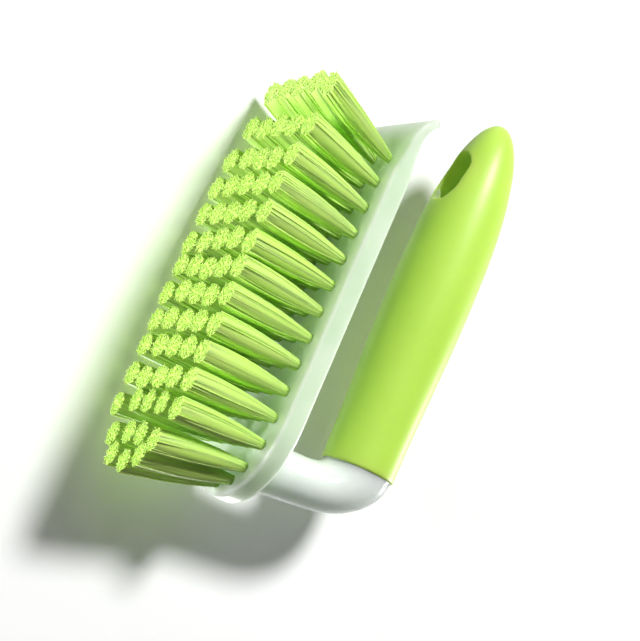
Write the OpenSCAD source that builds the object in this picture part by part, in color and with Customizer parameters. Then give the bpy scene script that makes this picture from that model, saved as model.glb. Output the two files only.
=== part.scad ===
// Palm brush: a frosted block with a looped handle, a soft grip and stapled bristle tufts.
// It stands on its bristle tips. X runs from the free end of the grip to the round heel,
// Y across the block and Z up to the handle.

/* [Bristles] */
// Height of the tuft face above the bristle tips
bristle_h = 35; // [32:1:38]
// Distance between rows of tufts along the block
row_pitch = 9.5; // [9:0.1:9.6]
// Distance between tufts across the block
tuft_pitch = 10.4; // [10:0.2:10.8]
// Strands in a tuft, the centre one included
strands = 6; // [5:1:6]
// Radius of the hole that a tuft is stapled into
hole_r = 1.8; // [1.7:0.05:1.9]
// Radius of the circle that the outer strands of a tuft end on
tip_spread = 2.55; // [2.4:0.05:2.6]
// Angle by which the row at the toe leans outwards
row_lean = 21; // [16:1:23]
// Angle by which the outer tufts of a row lean sideways
side_lean = 6; // [4:1:8]
// Angle by which tufts at the edge of the round heel would lean outwards
heel_lean = 18; // [14:1:20]
// Height that the tips of the row at the toe are trimmed to
toe_rise = 4; // [0:0.5:5]

/* [Block] */
// Width of the block
block_w = 58; // [57:0.5:62]
// Thickness of the block
block_h = 7.6; // [7.6:0.2:9]
// Rounding of the edge round the tuft face
face_edge_r = 1.4; // [1:0.1:1.4]
// Rounding of the edge round the top
top_edge_r = 2; // [1.4:0.1:2.4]
// Radius that the toe is swept up to
lip_bend_r = 13; // [12:0.5:14]
// Thickness of the lip at its edge
lip_t = 2.4; // [2:0.2:3]
// Radius of the lip's corners
lip_corner_r = 10; // [6:1:12]

/* [Handle] */
// Height of the grip's axis above the tuft face
grip_rise = 45.8; // [44:0.2:48]
// Half the width of the neck's leg across the brush
neck_half_w = 10.6; // [9.6:0.2:11.4]
// Length of the grip sleeve
grip_l = 132; // [128:0.5:136]
// Radius of the grip sleeve at its open end
grip_base_r = 13.1; // [12.8:0.1:13.6]
// Largest radius of the grip sleeve
grip_max_r = 14.7; // [14:0.1:15.2]
// Width of the oval hanging hole
hang_w = 13; // [12:0.2:13.2]
// Length of the oval hanging hole
hang_l = 18.4; // [16:0.2:19]
// Distance of the middle of the hanging hole from the free end of the grip
hang_inset = 23.8; // [23.4:0.2:25]

/* [Hidden] */

FROSTED = [0.87, 0.93, 0.85];
LIME = [0.74, 0.93, 0.36];
BRISTLE = [0.62, 0.83, 0.30];
STEEL = [0.75, 0.76, 0.78];

// Places along the block
heel_x = 48.5;                // centre of the round heel
toe_bend_x = -53.3;           // where the toe starts to sweep up
taper_x = -38;                // where the toe starts to thin
bend_run = 16;                // length of the swept-up lip along its middle
first_row_x = -46.8;
straight_rows = 11;
grip_end_x = 48.5;            // where the grip sleeve meets the neck

half_w = block_w / 2;
half_h = block_h / 2;
face_z = bristle_h;
mid_z = face_z + half_h;
top_z = face_z + block_h;
grip_z = face_z + grip_rise;
bend_share = 0.62;            // thickness left where the sweep starts

// Tufts
bristle_l = bristle_h + 0.5;
slice_t = 2;                  // thickness of the strip that carries a row
rim = 2;                      // width of the block's rim round the strips
hole_depth = 5.5;             // from the tuft face
anchor = [4.2, 0.4, 2];
anchor_z = face_z + 3.3;
root_ring_r = 1.25;
strand_root_r = 0.6;
strand_tip_r = 1.2;
fan_mid_x = 13.5;             // where the rows stand upright
fan_half = 60;
steady_lean = 0.15;           // share of the lean that grows evenly along the block
rise_x = -14;                 // where the tips start to rise towards the toe
rise_run = 33;
rise_power = 1.2;
fan_power = 5;                // how late the lean grows towards the toe
side_even = 0.45;             // share of the sideways lean that grows evenly
toe_calm = 0.7;               // how much less the toe leans sideways
bow = 1.2;                    // how far leaning strands bend away from a straight line
uneven = 0.22;                // how far tufts stray from their places at the tips

// Grip sleeve and core
nose_l = 66;
nose_power = 2.6;
spine_r = 8.2;
spine_end_r = 6;
groove_depth = 0.8;
groove_w = 3;
grooves = [20, 46, 72];       // distances of the keying grooves from the neck
eye_t = 6;
eye_wall = 3;
eye_lip = 0.4;                // how far the eye stands proud of the sleeve inside the hole
mouth_flare = 4;              // widening of each mouth of the hole over its height
mouth_h = 5;
mouth_z = 9.4;                // where the mouths start to open, from the grip's axis
hang_x = grip_end_x - grip_l + hang_inset;

// Rows at the heel follow its curve: [x, distances from the middle, strip start, strip end]
heel_rows = [[57.7, [0, 10.2, 20.2], 52.95, 61.95],
             [66, [5.1, 14.6], 61.95, 68.5],
             [71, [9], 68.5, 77]];
heel_end_tuft = [72.7, 0];

function straight_x(i) = first_row_x + i * row_pitch;
function smooth(t) = let (c = min(1, max(0, t))) c * c * (3 - 2 * c);

// Each row: [x, distances from the middle, strip start, strip end]
function row(i) =
    i < straight_rows
    ? [straight_x(i), [0, tuft_pitch, 2 * tuft_pitch],
       straight_x(i) - row_pitch / 2, i == straight_rows - 1 ? heel_rows[0][2] : straight_x(i) + row_pitch / 2]
    : heel_rows[i - straight_rows];
row_count = straight_rows + len(heel_rows);
last_row = row_count - 1;

// Tufts of row i at or beyond the middle, on the +Y side
function row_tufts(i) = concat([for (y = row(i)[1]) [row(i)[0], y]], i == last_row ? [heel_end_tuft] : []);
function both_sides(tufts) = concat(tufts, [for (t = tufts) if (t[1] > 0) [t[0], -t[1]]]);

// Block: its outline is worked out flat, then its toe is bent up
function outline(d) = concat(
    [for (a = [0 : 7.5 : 90]) [heel_x + (half_w - d) * cos(a), (half_w - d) * sin(a)]],
    [for (x = [taper_x : -3 : toe_bend_x]) [x, half_w - d]],
    [for (x = [toe_bend_x, (toe_bend_x + corner_x) / 2]) [x, half_w - d]],
    [for (a = [0 : 9 : 90]) [corner_x - (lip_corner_r - d) * sin(a),
                            half_w - lip_corner_r + (lip_corner_r - d) * cos(a)]]);
corner_x = toe_bend_x - bend_run + lip_corner_r;

function thickness_share(x) =
    x > toe_bend_x
    ? 1 - (1 - bend_share) * smooth((taper_x - x) / (taper_x - toe_bend_x))
    : bend_share + (lip_t / block_h - bend_share) * (toe_bend_x - x) / bend_run;

function bent(x, y, h) =
    let (a = max(0, toe_bend_x - x) / lip_bend_r * 180 / PI, s = h * thickness_share(x))
    a == 0
    ? [x, y, mid_z + s]
    : [toe_bend_x - (lip_bend_r - s) * sin(a), y, mid_z + lip_bend_r - (lip_bend_r - s) * cos(a)];

// Levels from the tuft face to the top: [inset of the outline, height from the middle]
levels = concat(
    [for (a = [0 : 30 : 90]) [face_edge_r * (1 - sin(a)), -half_h + face_edge_r * (1 - cos(a))]],
    [for (a = [90 : -30 : 0]) [top_edge_r * (1 - sin(a)), half_h - top_edge_r * (1 - cos(a))]]);

module block_shell() {
    half = len(outline(0));
    ring = 2 * half - 1;
    count = len(levels);
    points = [for (l = levels)
              let (side = outline(l[0]))
              each concat([for (p = side) bent(p[0], p[1], l[1])],
                          [for (i = [half - 1 : -1 : 1]) bent(side[i][0], -side[i][1], l[1])])];
    walls = [for (l = [0 : count - 2], i = [0 : ring - 1])
             let (a = l * ring + i, b = l * ring + (i + 1) % ring)
             each [[a, a + ring, b], [b, a + ring, b + ring]]];
    low = cap(0, half, ring);
    high = [for (f = cap((count - 1) * ring, half, ring)) [f[2], f[1], f[0]]];
    polyhedron(points, concat(walls, low, high), convexity = 6);
}

// Strips across a flat ring, from the heel to the lip
function cap(first, half, ring) =
    concat([[first, first + 1, first + ring - 1]],
           [for (i = [1 : half - 2])
            let (a = first + i, b = first + i + 1, c = first + ring - i, d = first + ring - i - 1)
            each [[a, b, c], [b, d, c]]]);

// Outline of the seat that the tuft strips fill
module seat_outline(x_from, x_to) {
    intersection() {
        union() {
            translate([heel_x, 0]) circle(r = half_w - rim, $fn = 96);
            translate([straight_x(0) - row_pitch / 2, rim - half_w])
                square([heel_x - straight_x(0) + row_pitch / 2, block_w - 2 * rim]);
        }
        translate([x_from, -half_w]) square([x_to - x_from, block_w]);
    }
}

module anchor_plate(tuft) {
    translate([tuft[0] - anchor[0] / 2, tuft[1] - anchor[1] / 2, anchor_z]) cube(anchor);
}

// Neck: a horn that flares onto the block, thins to a leg and bends into the grip.
// Each station: [inner point, outer point, how much its half width is more than the leg's],
// with points as [place along X, height above the block]
neck_stations = [
    [[48.6, -1], [74.6, -1], 3.2],
    [[49.6, 0], [73.4, 0], 2.2],
    [[50.7, 1.6], [72.1, 1.6], 1.1],
    [[51.7, 4.2], [71.1, 4.2], 0.4],
    [[52.1, 8], [70.4, 8], 0.1],
    [[52.2, 13], [69.7, 13], 0],
    [[52, 18], [69, 19.5], 0],
    [[51.5, 21.6], [68.1, 26], 0.1],
    [[50.9, 23.6], [66.5, 33], 0.4],
    [[50.2, 24.8], [63.6, 39.6], 0.9],
    [[49.5, 25.4], [59.4, 45.2], 1.3],
    [[48.9, 25.7], [54.2, 49.1], 1.6],
    [[48.5, 25.8], [48.5, 50.6], 1.8]];
neck_sides = 36;
drawn_rise = 45.8;            // the grip_rise that the stations are drawn for

module neck() {
    lift = grip_rise - drawn_rise;
    count = len(neck_stations);
    // The upper stations follow the height of the grip
    function up(z) = top_z + z + lift * smooth(z / 24);
    points = [for (s = neck_stations)
              let (inner = [s[0][0], up(s[0][1])], outer = [s[1][0], up(s[1][1])],
                   mid = (inner + outer) / 2, half = (outer - inner) / 2)
              for (k = [0 : neck_sides - 1])
              let (a = 360 * k / neck_sides)
              [mid[0] + half[0] * cos(a), (neck_half_w + s[2]) * sin(a), mid[1] + half[1] * cos(a)]];
    walls = [for (l = [0 : count - 2], k = [0 : neck_sides - 1])
             let (a = l * neck_sides + k, b = l * neck_sides + (k + 1) % neck_sides)
             each [[a, a + neck_sides, b], [b, a + neck_sides, b + neck_sides]]];
    foot = [for (k = [0 : neck_sides - 1]) k];
    end = [for (k = [neck_sides - 1 : -1 : 0]) (count - 1) * neck_sides + k];
    polyhedron(points, concat(walls, [foot, end]), convexity = 4);
}

// An oval prism at the hanging hole that reaches a distance beyond its outline
module oval(beyond, h) {
    half = (hang_l - hang_w) / 2;
    for (s = [-1, 1]) translate([s * half, 0, 0]) cylinder(r = hang_w / 2 + beyond, h = h, center = true, $fn = 72);
    cube([2 * half, hang_w + 2 * beyond, h], center = true);
}

// The widening mouth of the hanging hole
module mouth() {
    half = (hang_l - hang_w) / 2;
    r = hang_w / 2;
    for (s = [-1, 1]) translate([s * half, 0, 0]) cylinder(r1 = r, r2 = r + mouth_flare, h = mouth_h, $fn = 72);
    translate([-half, 0, 0]) rotate([90, 0, 90]) linear_extrude(2 * half)
        polygon([[-r, 0], [r, 0], [r + mouth_flare, mouth_h], [-r - mouth_flare, mouth_h]]);
}

// Core inside the grip: a tapered spine with keying grooves and an eye round the hanging hole
module core() {
    spine_l = grip_end_x - hang_x - hang_l / 2 - 1;
    function spine_at(t) = spine_r + (spine_end_r - spine_r) * t / spine_l;
    translate([grip_end_x, 0, grip_z]) rotate([0, -90, 0]) rotate_extrude($fn = 72)
        polygon(concat([[0, -2], [spine_r, -2], [spine_r, 0]],
                       [for (g = grooves) each [[spine_at(g), g], [spine_at(g) - groove_depth, g],
                                                [spine_at(g + groove_w) - groove_depth, g + groove_w],
                                                [spine_at(g + groove_w), g + groove_w]]],
                       [[spine_end_r, spine_l], [0, spine_l]]));
    translate([hang_x, 0, grip_z]) oval(eye_wall, eye_t);
}

module brush_body() {
    color(FROSTED) difference() {
        union() {
            block_shell();
            neck();
            core();
        }
        translate([hang_x, 0, grip_z]) oval(-eye_lip, 4 * eye_t);
        translate([0, 0, face_z - 1]) linear_extrude(slice_t + 1)
            seat_outline(straight_x(0) - row_pitch / 2, heel_x + half_w);
        for (i = [0 : last_row], t = both_sides(row_tufts(i))) {
            translate([t[0], t[1], face_z + 1]) cylinder(r = hole_r, h = hole_depth - 1, $fn = 24);
            anchor_plate(t);
        }
    }
}

// Profile of the grip: its radius at a distance from the open end
function grip_r(t) =
    t < grip_l - nose_l
    ? grip_base_r + (grip_max_r - grip_base_r) * (1 - cos(180 * t / (grip_l - nose_l))) / 2
    : grip_max_r * sqrt(max(0, 1 - pow((t - grip_l + nose_l) / nose_l, nose_power)));

module grip_sleeve() {
    edge = 0.6;
    body = grip_l - nose_l;
    color(LIME) difference() {
        translate([grip_end_x, 0, grip_z]) rotate([0, -90, 0]) rotate_extrude($fn = 96)
            polygon(concat([[0, 0], [grip_base_r - edge, 0], [grip_base_r, edge]],
                           [for (k = [1 : 7]) [grip_r(body * k / 8), body * k / 8]],
                           [for (a = [0 : 6 : 84]) let (t = body + nose_l * sin(a)) [grip_r(t), t]],
                           [[0, grip_l]]));
        core();
        translate([hang_x, 0, grip_z]) {
            oval(0, 3 * grip_max_r);
            for (s = [0, 1]) mirror([0, 0, s]) translate([0, 0, mouth_z]) mouth();
        }
    }
}

module tuft_anchors() {
    color(STEEL) for (i = [0 : last_row], t = both_sides(row_tufts(i))) anchor_plate(t);
}

// A four-sided strand in two straight lengths, with level ends
module strand(root, middle, tip, turn) {
    rings = [[root, strand_root_r], [middle, (strand_root_r + strand_tip_r) / 2], [tip, strand_tip_r]];
    points = [for (r = rings, k = [0 : 3])
              r[0] + r[1] * [cos(turn + 90 * k), sin(turn + 90 * k), 0]];
    sides = [for (r = [0, 1], k = [0 : 3])
             let (a = 4 * r + k, b = 4 * r + (k + 1) % 4)
             each [[a, b, b + 4], [a, b + 4, a + 4]]];
    polyhedron(points, concat(sides, [[0, 2, 1], [0, 3, 2], [8, 9, 10], [8, 10, 11]]));
}

// Lean of a tuft at a place on the block, as angles along X and along Y
function lean(x, y) =
    let (u = (x - fan_mid_x) / fan_half, v = y / (2 * tuft_pitch), d = norm([x - heel_x, y]),
         steady = row_lean * steady_lean * u)
    x > straight_x(straight_rows - 1) + 1
    ? [steady, 0] + heel_lean * pow(d / half_w, 4) * [x - heel_x, y] / d
    : [steady + row_lean * (1 - steady_lean) * pow(u, fan_power),
       side_lean * (side_even * v + (1 - side_even) * pow(v, 3)) * (1 - toe_calm * pow(max(0, -u), fan_power))];

// Height that the tips are trimmed to
function rise(x) = toe_rise * pow(max(0, rise_x - x) / rise_run, rise_power);

module tuft(t) {
    a = lean(t[0], t[1]);
    out = [sin(a[0]), sin(a[1])];
    drop = sqrt(1 - out[0] * out[0] - out[1] * out[1]);
    tip_z = max(rise(t[0]), face_z - bristle_l * drop);
    reach = (face_z - tip_z) / drop;
    shift = rands(-uneven, uneven, 2, 100 + 7 * t[0] + t[1]);
    even = t[1] == 0 ? [1, 0] : [1, 1];
    for (k = [0 : strands - 1]) {
        way = k == 0 ? [0, 0] : [cos(360 * k / (strands - 1)), sin(360 * k / (strands - 1))];
        root = [t[0] + root_ring_r * way[0], t[1] + root_ring_r * way[1], face_z + 1];
        tip = [t[0] + reach * out[0] + tip_spread * way[0] + shift[0] * even[0],
               t[1] + reach * out[1] + tip_spread * way[1] + shift[1] * even[1], tip_z];
        middle = root * 0.5 + tip * 0.5 - bow * [out[0], out[1], 0];
        strand(root, middle, tip, 360 * k / max(1, strands - 1));
    }
    difference() {
        translate([t[0], t[1], face_z + 1]) cylinder(r = hole_r, h = hole_depth - 1, $fn = 24);
        anchor_plate(t);
    }
}

// A row of tufts on its slice of the tuft face
module tuft_row(i) {
    color(BRISTLE) {
        translate([0, 0, face_z]) linear_extrude(slice_t) seat_outline(row(i)[2], row(i)[3]);
        for (t = row_tufts(i)) {
            tuft(t);
            if (t[1] > 0) mirror([0, 1, 0]) tuft(t);
        }
    }
}

brush_body();
grip_sleeve();
tuft_anchors();
for (i = [0 : last_row]) {
    tuft_row(i);
}
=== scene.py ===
import math
import random

import bmesh
import bpy
import numpy as np
from mathutils import Matrix, Vector


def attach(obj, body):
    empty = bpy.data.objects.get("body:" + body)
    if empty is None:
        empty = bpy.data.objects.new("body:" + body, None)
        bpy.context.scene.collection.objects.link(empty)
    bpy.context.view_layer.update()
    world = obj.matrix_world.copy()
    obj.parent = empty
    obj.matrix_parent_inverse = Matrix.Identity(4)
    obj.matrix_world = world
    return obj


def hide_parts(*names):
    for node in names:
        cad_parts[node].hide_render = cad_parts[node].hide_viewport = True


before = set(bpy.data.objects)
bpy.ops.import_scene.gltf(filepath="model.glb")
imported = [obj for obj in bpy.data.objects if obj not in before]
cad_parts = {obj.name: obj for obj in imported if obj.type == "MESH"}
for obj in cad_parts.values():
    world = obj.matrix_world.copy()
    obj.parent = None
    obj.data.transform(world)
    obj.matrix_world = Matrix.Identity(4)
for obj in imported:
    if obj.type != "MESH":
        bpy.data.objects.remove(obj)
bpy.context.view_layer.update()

MM = 0.001
scene = bpy.context.scene
scene.view_settings.view_transform = "Standard"

# The camera, fitted to the photograph: the brush seems to lie on its side, seen from its bristles
AZIMUTH, ELEVATION, ROLL = 11.36, -24.85, 118.19
DISTANCE = 758 * MM
LENS = 126
AIM = Vector((8.4, 0, 45.6)) * MM


def make_camera():
    a, e, r = (math.radians(v) for v in (AZIMUTH, ELEVATION, ROLL))
    forward = Vector((-math.sin(a) * math.cos(e), math.cos(a) * math.cos(e), -math.sin(e)))
    level = forward.cross(Vector((0, 0, 1))).normalized()
    over = level.cross(forward)
    right = level * math.cos(r) + over * math.sin(r)
    up = over * math.cos(r) - level * math.sin(r)
    camera = bpy.data.objects.new("camera", bpy.data.cameras.new("camera"))
    camera.data.lens = LENS
    camera.data.clip_start = 0.01
    turn = Matrix((right, up, -forward)).transposed().to_4x4()
    camera.matrix_world = Matrix.Translation(AIM - forward * DISTANCE) @ turn
    scene.collection.objects.link(camera)
    scene.camera = camera


make_camera()

# Heights in metres between which the frosted piece goes from face to block and from block to neck
FACE_FADE, NECK_FADE = (0.0352, 0.0362), (0.0435, 0.052)
# Height in metres below which the bristles are painted paler: painted light on the tips, which the
# lamps leave dim
PAINTED_TIP_LIGHT_Z = 0.014


# Materials
def srgb(r, g, b):
    """A colour written as 0 to 255, as linear light."""
    out = []
    for v in (r, g, b):
        v /= 255
        out.append(v / 12.92 if v <= 0.04045 else ((v + 0.055) / 1.055) ** 2.4)
    return (*out, 1)


class Mat:
    """A node material with short calls for its nodes."""

    def __init__(self, name):
        self.material = bpy.data.materials.new(name)
        self.material.use_nodes = True
        self.tree = self.material.node_tree
        self.shader = self.tree.nodes["Principled BSDF"]
        self.output = self.tree.nodes["Material Output"]

    def node(self, kind, inputs=None, **settings):
        n = self.tree.nodes.new("ShaderNode" + kind)
        for key, value in settings.items():
            setattr(n, key, value)
        for key, value in (inputs or {}).items():
            self.put(n.inputs[key], value)
        return n

    def put(self, socket, value):
        if isinstance(value, bpy.types.NodeSocket):
            self.tree.links.new(value, socket)
        else:
            socket.default_value = value

    def set(self, **values):
        for key, value in values.items():
            self.put(self.shader.inputs[key.replace("_", " ")], value)

    def position(self):
        return self.node("NewGeometry").outputs["Position"]

    def axis(self, which):
        return self.node("SeparateXYZ", {"Vector": self.position()}).outputs[which]

    def noise(self, scale, detail=2.0):
        n = self.node("TexNoise", {"Vector": self.position(), "Scale": scale, "Detail": detail})
        return n.outputs["Fac"]

    def ramp(self, value, low, high, to_low=0.0, to_high=1.0):
        n = self.node("MapRange", {"Value": value, "From Min": low, "From Max": high,
                                   "To Min": to_low, "To Max": to_high})
        return n.outputs["Result"]

    def mix(self, share, a, b):
        n = self.node("Mix", data_type="RGBA")
        for socket, value in ((n.inputs["Factor"], share), (n.inputs[6], a), (n.inputs[7], b)):
            self.put(socket, value)
        return n.outputs[2]

    def bump(self, height, strength, distance):
        n = self.node("Bump", {"Height": height, "Strength": strength, "Distance": distance})
        self.put(self.shader.inputs["Normal"], n.outputs["Normal"])


def frosted_material():
    m = Mat("frosted_plastic")
    # The block is frosted and the neck above it is clearer and greyer
    clear = m.ramp(m.axis("Z"), *NECK_FADE)
    cloud = m.ramp(m.noise(60), 0.3, 0.7)
    block = m.mix(cloud, srgb(206, 228, 197), srgb(218, 237, 210))
    face = m.ramp(m.axis("Z"), *FACE_FADE)
    block = m.mix(face, srgb(232, 244, 229), block)
    m.set(Base_Color=m.mix(clear, block, srgb(234, 243, 235)),
          Roughness=m.ramp(clear, 0, 1, 0.3, 0.12),
          Subsurface_Weight=0.85, Subsurface_Radius=(1, 1, 0.9), Subsurface_Scale=0.012,
          IOR=1.47)
    m.bump(m.noise(1400, 1), 0.05, 0.0002)
    return m.material


def rubber_material():
    m = Mat("grip_rubber")
    tone = m.ramp(m.noise(35), 0.3, 0.7)
    m.set(Base_Color=m.mix(tone, srgb(190, 230, 90), srgb(196, 234, 96)), Roughness=0.38,
          Subsurface_Weight=0.6, Subsurface_Radius=(1, 1, 0.35), Subsurface_Scale=0.008,
          IOR=1.45)
    m.bump(m.noise(2500, 2), 0.06, 0.0002)
    return m.material


def bristle_material():
    m = Mat("bristle")
    shade = m.node("Attribute", attribute_name="strand").outputs["Fac"]
    colour = m.mix(shade, srgb(194, 246, 104), srgb(210, 254, 128))
    # Painted light: the bristles are painted paler towards their tips, standing in for light that
    # the lamps don't give them
    ends = m.ramp(m.axis("Z"), PAINTED_TIP_LIGHT_Z, 0, 0, 0.7)
    m.set(Base_Color=m.mix(ends, colour, srgb(208, 246, 122)), Roughness=0.5,
          Subsurface_Weight=0.5, Subsurface_Radius=(1, 1, 0.5), Subsurface_Scale=0.0012,
          IOR=1.5, Specular_IOR_Level=0.3)
    return m.material


def steel_material():
    m = Mat("anchor_steel")
    grain = m.ramp(m.noise(900), 0.3, 0.7, 0.28, 0.4)
    m.set(Base_Color=srgb(205, 206, 210), Metallic=1.0, Roughness=grain)
    return m.material


FROSTED = frosted_material()
RUBBER = rubber_material()
BRISTLE = bristle_material()
STEEL = steel_material()
# Every node has a material, also where a finished piece takes its place below
for name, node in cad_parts.items():
    node.data.materials.clear()
    node.data.materials.append(STEEL if name == "tuft_anchors" else BRISTLE)


def solid(name, points, faces, material):
    """A mesh object from points in millimetres."""
    mesh = bpy.data.meshes.new(name)
    mesh.from_pydata([tuple(MM * c for c in p) for p in points], [], faces)
    mesh.materials.append(material)
    obj = bpy.data.objects.new(name, mesh)
    scene.collection.objects.link(obj)
    bm = bmesh.new()
    bm.from_mesh(mesh)
    bmesh.ops.recalc_face_normals(bm, faces=bm.faces)
    bm.to_mesh(mesh)
    bm.free()
    return obj


def stands_for(obj, node):
    """A finished piece that takes the place of a CAD node."""
    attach(obj, "root")
    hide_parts(node)


def ring_walls(rings, count, first=0):
    """Quads between neighbouring rings of count points each, from point number first on."""
    faces = []
    for r in range(rings - 1):
        start = first + r * count
        for k in range(count):
            a, b = start + k, start + (k + 1) % count
            faces.append((a, b, b + count, a + count))
    return faces


def tube_faces(rings, count, first=0):
    """The walls of a tube of rings and a cap on each of its ends."""
    last = first + (rings - 1) * count
    caps = [tuple(range(first, first + count))[::-1], tuple(range(last, last + count))]
    return ring_walls(rings, count, first) + caps


def circle(sides, turn=0.0):
    """Cosine and sine of each corner's angle."""
    angles = [turn + 2 * math.pi * k / sides for k in range(sides)]
    return [(math.cos(a), math.sin(a)) for a in angles]


def quarter(steps):
    """Angles from 0 to a quarter turn."""
    return [math.radians(90 * k / steps) for k in range(steps + 1)]


def smoothstep(t):
    t = min(1, max(0, t))
    return t * t * (3 - 2 * t)


# The brush's own sizes, in millimetres, as in the part's source
FACE_Z, BLOCK_H, HALF_W = 35, 7.6, 29
TOP_Z, MID_Z, HALF_H = FACE_Z + BLOCK_H, FACE_Z + BLOCK_H / 2, BLOCK_H / 2
FACE_EDGE_R, TOP_EDGE_R = 1.4, 2
HEEL_X, TOE_BEND_X, TAPER_X = 48.5, -53.3, -38
SIDE_STEPS = 30
LIP_BEND_R, BEND_RUN, LIP_T, LIP_CORNER_R, BEND_SHARE = 13, 16, 2.4, 10, 0.62
CORNER_X = TOE_BEND_X - BEND_RUN + LIP_CORNER_R


def half_outline(d):
    """One side of the block's outline at inset d, from the heel to the lip."""
    r = HALF_W - d
    points = [(HEEL_X + r * math.cos(a), r * math.sin(a)) for a in quarter(36)]
    for k in range(1, SIDE_STEPS):
        points.append((HEEL_X + (TAPER_X - HEEL_X) * k / SIDE_STEPS, r))
    for k in range(SIDE_STEPS + 1):
        points.append((TAPER_X + (CORNER_X - TAPER_X) * k / SIDE_STEPS, r))
    r = LIP_CORNER_R - d
    for a in quarter(30)[1:]:
        points.append((CORNER_X - r * math.sin(a), HALF_W - LIP_CORNER_R + r * math.cos(a)))
    return points


def thickness_share(x):
    """How much of the block's full thickness is left at x along it."""
    if x > TOE_BEND_X:
        return 1 - (1 - BEND_SHARE) * smoothstep((TAPER_X - x) / (TAPER_X - TOE_BEND_X))
    return BEND_SHARE + (LIP_T / BLOCK_H - BEND_SHARE) * (TOE_BEND_X - x) / BEND_RUN


def bent(x, y, h):
    """A point at height h above the block's middle, carried up with the toe where that bends."""
    a = max(0, TOE_BEND_X - x) / LIP_BEND_R
    s = h * thickness_share(x)
    if a == 0:
        return (x, y, MID_Z + s)
    reach = LIP_BEND_R - s
    return (TOE_BEND_X - reach * math.sin(a), y, MID_Z + LIP_BEND_R - reach * math.cos(a))


def block():
    """The block as outlines stacked from its face to its top, with both edges rounded."""
    levels = [(FACE_EDGE_R * (1 - math.sin(a)), -HALF_H + FACE_EDGE_R * (1 - math.cos(a)))
              for a in quarter(6)]
    levels += [(TOP_EDGE_R * (1 - math.sin(a)), HALF_H - TOP_EDGE_R * (1 - math.cos(a)))
               for a in quarter(6)[::-1]]
    points = []
    for inset, height in levels:
        side = half_outline(inset)
        points += [bent(x, y, height) for x, y in side]
        points += [bent(x, -y, height) for x, y in side[-2:0:-1]]
    half = len(side)
    count = 2 * half - 2
    faces = ring_walls(len(levels), count)
    # Face and top are closed by strips that reach from one side to the other
    for first, turn in ((0, 1), ((len(levels) - 1) * count, -1)):
        end = first + count
        strips = [(first, first + 1, end - 1)]
        strips += [(first + k, first + k + 1, end - k - 1, end - k) for k in range(1, half - 2)]
        strips.append((first + half - 2, first + half - 1, first + half))
        faces += [strip[::turn] for strip in strips]
    return points, faces


# The neck's stations: inner point, outer point and how much wider than its leg it is there
NECK_HALF_W, NECK_STEPS = 10.6, 5
NECK = [((48.4, -1.2), (74.8, -1.2), 3.4), ((48.6, 0), (74.4, 0), 3.2),
        ((50, 0.5), (72.9, 0.5), 1.9), ((51, 2), (71.8, 2), 1),
        ((51.7, 4.2), (71.1, 4.2), 0.4), ((52.1, 8), (70.4, 8), 0.1),
        ((52.2, 13), (69.7, 13), 0), ((52, 18), (69, 19.5), 0),
        ((51.5, 21.6), (68.1, 26), 0.1), ((50.9, 23.6), (66.5, 33), 0.4),
        ((50.2, 24.8), (63.6, 39.6), 0.9), ((49.5, 25.4), (59.4, 45.2), 1.3),
        ((48.9, 25.7), (54.2, 49.1), 1.6), ((48.5, 25.8), (48.5, 50.6), 1.8)]


def spline(rows, steps):
    """Points on a smooth curve through rows of numbers."""
    rows = np.array(rows, float)
    padded = np.vstack([2 * rows[0] - rows[1], rows, 2 * rows[-1] - rows[-2]])
    out = []
    for i in range(1, len(padded) - 2):
        p0, p1, p2, p3 = padded[i - 1:i + 3]
        for k in range(steps):
            t = k / steps
            square, cube = 2 * p0 - 5 * p1 + 4 * p2 - p3, 3 * p1 - p0 - 3 * p2 + p3
            out.append(0.5 * (2 * p1 + (p2 - p0) * t + square * t * t + cube * t ** 3))
    out.append(rows[-1])
    return out


def neck():
    """The horn that flares onto the block, lofted through its stations."""
    sides = 72
    stations = spline([(*inner, *outer, wide) for inner, outer, wide in NECK], NECK_STEPS)
    points = []
    for ix, iz, ox, oz, wide in stations:
        for c, s in circle(sides):
            points.append(((ix + ox) / 2 + (ox - ix) / 2 * c, (NECK_HALF_W + wide) * s,
                           TOP_Z + (iz + oz) / 2 + (oz - iz) / 2 * c))
    return points, tube_faces(len(stations), sides)


# The grip sleeve, turned about a line along X
GRIP_END_X, GRIP_Z, GRIP_L = 48.5, 80.8, 132
GRIP_BASE_R, GRIP_MAX_R, NOSE_L, NOSE_POWER = 13.1, 14.7, 66, 2.6
GRIP_EDGE_R, NOSE_TIP_R = 0.6, 0.05
HANG_INSET, HANG_L, HANG_W = 23.8, 18.4, 13
HANG_X = GRIP_END_X - GRIP_L + HANG_INSET
# Height from the axis where the hole's mouths begin to open out, and the radius of their curve
MOUTH_FROM, MOUTH_ROUND = 9.2, 4
EYE_T, EYE_WALL, EYE_LIP = 6, 3, 0.4
SPINE_R, SPINE_END_R, SPINE_L = 8.2, 6, GRIP_L - HANG_INSET - HANG_L / 2 - 1
SPINE_IN_NECK = 2


def grip_r(t):
    """Radius of the grip at a distance from the end that meets the neck."""
    body = GRIP_L - NOSE_L
    if t < body:
        return GRIP_BASE_R + (GRIP_MAX_R - GRIP_BASE_R) * (1 - math.cos(math.pi * t / body)) / 2
    return GRIP_MAX_R * math.sqrt(max(0, 1 - ((t - body) / NOSE_L) ** NOSE_POWER))


def turned(profile, sides, place):
    """A turned form from (distance, radius) pairs; place makes a point of (distance, u, v)."""
    points = [place(t, r * c, r * s) for t, r in profile for c, s in circle(sides)]
    return points, tube_faces(len(profile), sides)


def along_grip(t, y, z):
    """A point at a distance along the grip's axis, y across it and z above it."""
    return GRIP_END_X - t, y, GRIP_Z + z


def keep_modifiers(obj):
    """Turns the shape that the modifiers make into the object's own mesh."""
    bpy.context.view_layer.update()
    graph = bpy.context.evaluated_depsgraph_get()
    shape = bpy.data.meshes.new_from_object(obj.evaluated_get(graph))
    obj.modifiers.clear()
    obj.data = shape


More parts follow.
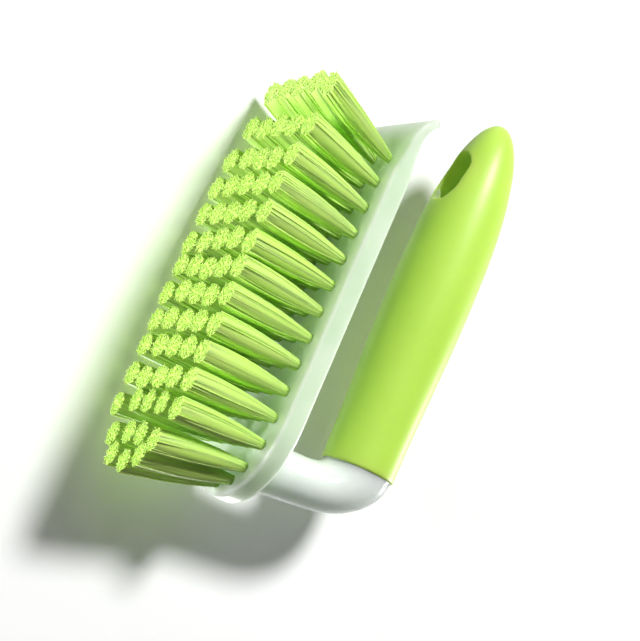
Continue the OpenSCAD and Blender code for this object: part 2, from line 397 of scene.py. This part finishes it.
def combine(obj, other, operation):
    """Joins other to obj with UNION or takes it out with DIFFERENCE, for good."""
    change = obj.modifiers.new("combine", "BOOLEAN")
    change.object = other
    change.operation = operation
    change.solver = "EXACT"
    keep_modifiers(obj)
    bpy.data.objects.remove(other)


def even_out(obj, voxel, rounds):
    """Remakes the surface in small even faces and rounds its edges a little."""
    remesh = obj.modifiers.new("remesh", "REMESH")
    remesh.mode = "VOXEL"
    remesh.voxel_size = voxel * MM
    remesh.use_smooth_shade = True
    smooth = obj.modifiers.new("smooth", "SMOOTH")
    smooth.factor = 0.5
    smooth.iterations = rounds
    keep_modifiers(obj)


def sharp_edges(obj, degrees):
    """Smooth shading that keeps edges above an angle sharp."""
    bm = bmesh.new()
    bm.from_mesh(obj.data)
    limit = math.radians(degrees)
    for f in bm.faces:
        f.smooth = True
    for e in bm.edges:
        e.smooth = len(e.link_faces) == 2 and e.calc_face_angle(0) < limit
    bm.to_mesh(obj.data)
    bm.free()


def oval(profile, material):
    """An oval prism at the hanging hole: profile has (height, reach beyond the hole's wall)."""
    half = (HANG_L - HANG_W) / 2

    def place(t, x, y):
        return HANG_X + x + math.copysign(half, x), y, GRIP_Z + t

    return solid("oval", *turned([(t, HANG_W / 2 + w) for t, w in profile], 96, place), material)


def make_grip():
    inner_r = GRIP_BASE_R - GRIP_EDGE_R
    profile = [(GRIP_EDGE_R * (1 - math.cos(a)), inner_r + GRIP_EDGE_R * math.sin(a))
               for a in quarter(5)]
    body = GRIP_L - NOSE_L
    stations = [body * k / 24 for k in range(1, 24)]
    stations += [body + NOSE_L * math.sin(a) for a in quarter(60)[:-1]]
    profile += [(t, grip_r(t)) for t in stations]
    profile.append((GRIP_L, NOSE_TIP_R))
    grip = solid("grip_sleeve_smooth", *turned(profile, 128, along_grip), RUBBER)
    # The hole is cut by a spool whose ends open out in a quarter round
    ends = [(MOUTH_FROM + MOUTH_ROUND * math.sin(a), MOUTH_ROUND * (1 - math.cos(a)))
            for a in quarter(12)]
    combine(grip, oval([(-t, w) for t, w in ends[::-1]] + ends, RUBBER), "DIFFERENCE")
    even_out(grip, 0.4, 4)
    stands_for(grip, "grip_sleeve")


def make_body():
    body = solid("frosted_body", *block(), FROSTED)
    combine(body, solid("horn", *neck(), FROSTED), "UNION")
    spine = turned([(-SPINE_IN_NECK, SPINE_R), (SPINE_L, SPINE_END_R)], 48, along_grip)
    combine(body, solid("spine", *spine, FROSTED), "UNION")
    # The eye is a ring round the hole, and its bore is a little smaller than the sleeve's
    combine(body, oval([(-EYE_T / 2, EYE_WALL), (EYE_T / 2, EYE_WALL)], FROSTED), "UNION")
    combine(body, oval([(-EYE_T, -EYE_LIP), (EYE_T, -EYE_LIP)], FROSTED), "DIFFERENCE")
    sharp_edges(body, 40)
    stands_for(body, "brush_body")


make_grip()
make_body()

# Tufts: where they are rooted, as in the part's source
ROW_PITCH, TUFT_PITCH, FIRST_X, STRAIGHT_ROWS = 9.5, 10.4, -46.8, 11
ROWS = [(FIRST_X + ROW_PITCH * i, (0, TUFT_PITCH, 2 * TUFT_PITCH)) for i in range(STRAIGHT_ROWS)]
# The rows of the round heel
ROWS += [(57.7, (0, 10.2, 20.2)), (66, (5.1, 14.6)), (71, (9,))]
END_TUFT = (72.7, 0)
HEEL_FROM_X = FIRST_X + ROW_PITCH * (STRAIGHT_ROWS - 1) + 1

# How the tufts fan out, in degrees, and how far the toe's tips are trimmed up
FAN_MID_X, FAN_HALF, FAN_POWER = 13.5, 60, 5
ROW_LEAN, STEADY_LEAN, HEEL_LEAN = 21, 0.15, 18
SIDE_LEAN, SIDE_EVEN, TOE_CALM = 6, 0.45, 0.7
TOE_RISE, RISE_X, RISE_RUN, RISE_POWER = 4, -14, 33, 1.2

# A tuft and its filaments
BRISTLE_L, ROOT_DEPTH = 35.5, 0.6
ROOT_R, TIP_R, SWELL, BOW = 1.5, 4.6, 1.0, 1.2
FILAMENT_R, FILAMENTS = 0.29, 120
CORE_SHARE, CORE_THIN, CORE_DEPTH = 0.98, 0.1, 0.6
CLUMPS, CLUMP_PULL = 6, 0.2
# Turn from each filament to the next, which spreads them evenly over the tuft
GOLDEN_TURN = 2.39996
# How far a tuft's tip reaches across the brush towards its neighbour, as a share of its own radius
BAND = 1.42

# How far each measure may be off by chance
LEAN_OFF, TURN_OFF, TIP_OFF, TRIM_OFF, BOW_OFF, SHADE_OFF = 1.5, 0.25, 0.35, 0.45, 0.2, 0.2
SEED = 40


def lean(x, y):
    """How far a tuft leans along X and along Y, in degrees."""
    u, v = (x - FAN_MID_X) / FAN_HALF, y / (2 * TUFT_PITCH)
    steady = ROW_LEAN * STEADY_LEAN * u
    if x > HEEL_FROM_X:
        d = math.hypot(x - HEEL_X, y)
        push = HEEL_LEAN * (d / HALF_W) ** 4 / d
        return steady + push * (x - HEEL_X), push * y
    side = SIDE_LEAN * (SIDE_EVEN * v + (1 - SIDE_EVEN) * v ** 3)
    calm = 1 - TOE_CALM * max(0, -u) ** FAN_POWER
    return steady + ROW_LEAN * (1 - STEADY_LEAN) * u ** FAN_POWER, side * calm


def rise(x):
    """Height that the tips are trimmed to."""
    return TOE_RISE * (max(0, RISE_X - x) / RISE_RUN) ** RISE_POWER


def band(x, y, side):
    """How much wider a tuft's tip is across the brush, on the side that the sign names."""
    outermost = abs(y) > 1.5 * TUFT_PITCH and side * y > 0
    return 1 if x > HEEL_FROM_X or outermost else BAND


def level(a):
    return np.array([math.cos(a), math.sin(a), 0])


def bowed(root, tip, bow, steps):
    """Shares and points of the way from root to tip, bowed in its middle."""
    shares = [s / steps for s in range(steps + 1)]
    return [(t, root + (tip - root) * t + bow * math.sin(math.pi * t)) for t in shares]


def filament(root, tip, bow, turn):
    """The rings of a four-sided filament with a level end."""
    corners = circle(4, turn)
    rings = []
    for t, c in bowed(root, tip, bow, 6):
        r = FILAMENT_R * (0.8 + 0.2 * t)
        rings.append([(c[0] + r * u, c[1] + r * v, c[2]) for u, v in corners])
    return rings


def tuft_core(x, y, root, tip, bow):
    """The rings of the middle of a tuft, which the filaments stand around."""
    corners = [(u, v, band(x, y, v) - 1) for u, v in circle(16)]
    rings = []
    for t, c in bowed(root, tip, bow, 7):
        r = ROOT_R + (TIP_R - ROOT_R) * t + SWELL * math.sin(math.pi * t)
        r *= CORE_SHARE - CORE_THIN * t ** 3
        rings.append([(c[0] + r * u, c[1] + r * (1 + more * t ** 2) * v, c[2])
                      for u, v, more in corners])
    return rings


class Bundle:
    """Tubes gathered for one mesh, each in a shade of its own."""

    def __init__(self):
        self.points = []
        self.faces = []
        self.shades = []

    def add(self, rings, shade):
        count = len(rings[0])
        self.faces += tube_faces(len(rings), count, len(self.points))
        for ring in rings:
            self.points += ring
            self.shades += [shade] * count


def make_tuft(bundle, rng, x, y):
    def off(size):
        return rng.uniform(-size, size)

    ax, ay = (math.radians(v + off(LEAN_OFF)) for v in lean(x, y))
    out = np.array([math.sin(ax), math.sin(ay), 0])
    drop = math.sqrt(1 - out[0] ** 2 - out[1] ** 2)
    tip_z = max(rise(x), FACE_Z - BRISTLE_L * drop)
    reach = (FACE_Z - tip_z) / drop
    tuft_shade = rng.uniform(0.3, 0.7)
    middle_root = np.array([x, y, FACE_Z + ROOT_DEPTH])
    middle_tip = np.array([x, y, tip_z]) + out * reach
    core_tip = middle_tip + (middle_root - middle_tip) * CORE_DEPTH / BRISTLE_L
    bundle.add(tuft_core(x, y, middle_root, core_tip, -BOW * out), tuft_shade)
    clump_turn = rng.uniform(0, 1)
    clumps = []
    for k in range(CLUMPS):
        a = 2 * math.pi * (k + 0.5 - clump_turn) / CLUMPS
        clumps.append(level(a) * rng.uniform(0.75, 1.0))
    for k in range(FILAMENTS):
        spread = math.sqrt((k + 0.5) / FILAMENTS)
        turn = k * GOLDEN_TURN + off(TURN_OFF)
        way = level(turn) * spread
        clump = clumps[int(turn / (2 * math.pi) * CLUMPS + clump_turn) % CLUMPS]
        splay = way + (clump - way) * CLUMP_PULL * min(1, 2 * spread)
        splay[1] *= band(x, y, splay[1])
        tip = middle_tip + splay * (TIP_R - FILAMENT_R)
        tip[:2] += [off(TIP_OFF), off(TIP_OFF)]
        tip[2] += rng.uniform(0, TRIM_OFF)
        bow = way * SWELL - out * BOW + np.array([off(BOW_OFF), off(BOW_OFF), 0])
        shade = min(1, max(0, tuft_shade + off(SHADE_OFF)))
        bundle.add(filament(middle_root + way * ROOT_R, tip, bow, rng.uniform(0, 1.2)), shade)


def make_row(index, tufts):
    rng = random.Random(SEED + index)
    bundle = Bundle()
    for x, y in tufts:
        make_tuft(bundle, rng, x, y)
    row = solid(f"bristle_row_{index + 1:02d}", bundle.points, bundle.faces, BRISTLE)
    mark = row.data.attributes.new("strand", "FLOAT", "POINT")
    mark.data.foreach_set("value", bundle.shades)
    sharp_edges(row, 75)
    stands_for(row, f"tuft_row_{index + 1:02d}")


for index, (x, sides) in enumerate(ROWS):
    places = [(x, y) for y in sides] + [(x, -y) for y in sides if y > 0]
    if index == len(ROWS) - 1:
        places.append(END_TUFT)
    make_row(index, places)


# Stage: a floor below the brush and a board close behind it, as the surface in the photograph
CARD_SIZE, BOARD_Y = 2600, 31
WHITE, OFF_WHITE = (1, 1, 1, 1), (0.85, 0.85, 0.85, 1)
# The strength of the world's light on the brush, and the point in metres that the lamps aim at
WORLD_DIM = 0.085
MIDDLE = (0, 0, 0.045)


def card_material(name):
    """White where the camera sees it from the front, clear from behind."""
    m = Mat(name)
    seen = m.node("LightPath").outputs["Is Camera Ray"]
    m.set(Base_Color=m.mix(seen, OFF_WHITE, WHITE), Roughness=0.9, Specular_IOR_Level=0.1)
    clear = m.node("BsdfTransparent")
    back = m.node("NewGeometry").outputs["Backfacing"]
    both = m.node("MixShader", {0: back, 1: m.shader.outputs[0], 2: clear.outputs[0]})
    m.put(m.output.inputs["Surface"], both.outputs[0])
    return m.material


def card(name, centre, across, along):
    """A square card seen from the side that across x along points to."""
    c = Vector(centre) * MM
    a, b = (Vector(way) * CARD_SIZE * MM / 2 for way in (across, along))
    mesh = bpy.data.meshes.new(name)
    mesh.from_pydata([c - a - b, c + a - b, c + a + b, c - a + b], [], [(0, 1, 2, 3)])
    mesh.materials.append(card_material(name))
    obj = bpy.data.objects.new(name, mesh)
    scene.collection.objects.link(obj)
    obj.visible_shadow = False
    obj.visible_diffuse = False


card("floor", (0, 0, 0), (1, 0, 0), (0, 1, 0))
card("board", (0, BOARD_Y, 0), (1, 0, 0), (0, 0, 1))

world = bpy.data.worlds.new("studio")
scene.world = world
world.use_nodes = True
background = world.node_tree.nodes["Background"]
background.inputs["Color"].default_value = WHITE
# White where the camera sees it, and a dim even light otherwise
seen = world.node_tree.nodes.new("ShaderNodeLightPath").outputs["Is Camera Ray"]
strength = world.node_tree.nodes.new("ShaderNodeMapRange")
strength.inputs["To Min"].default_value = WORLD_DIM
world.node_tree.links.new(seen, strength.inputs["Value"])
world.node_tree.links.new(strength.outputs["Result"], background.inputs["Strength"])


def lamp(name, place, size, power):
    """A round lamp aimed at the middle of the brush."""
    data = bpy.data.lights.new(name, "AREA")
    data.shape = "DISK"
    data.size = size
    data.energy = power
    obj = bpy.data.objects.new(name, data)
    obj.location = place
    way = Vector(MIDDLE) - Vector(place)
    obj.rotation_euler = way.to_track_quat("-Z", "Y").to_euler()
    scene.collection.objects.link(obj)


lamp("key", (-1.292, -1.6, 0.262), 0.45, 50)
lamp("front", (0.25, -0.32, -0.95), 0.5, 2.3)
lamp("over", (0.1, 0.4, 2.0), 0.6, 26)
lamp("low", (0.25, 0.15, -0.8), 0.25, 9)
lamp("back", (0.9, 1.6, 0.8), 0.6, 14)
# Small lamps for the points of light on the glossy neck
lamp("spot left", (-0.72, -0.66, -0.66), 0.02, 0.2)
lamp("spot right", (-0.5, -0.9, -0.5), 0.02, 0.2)
lamp("spot top", (-0.55, -0.85, 0.55), 0.02, 0.2)
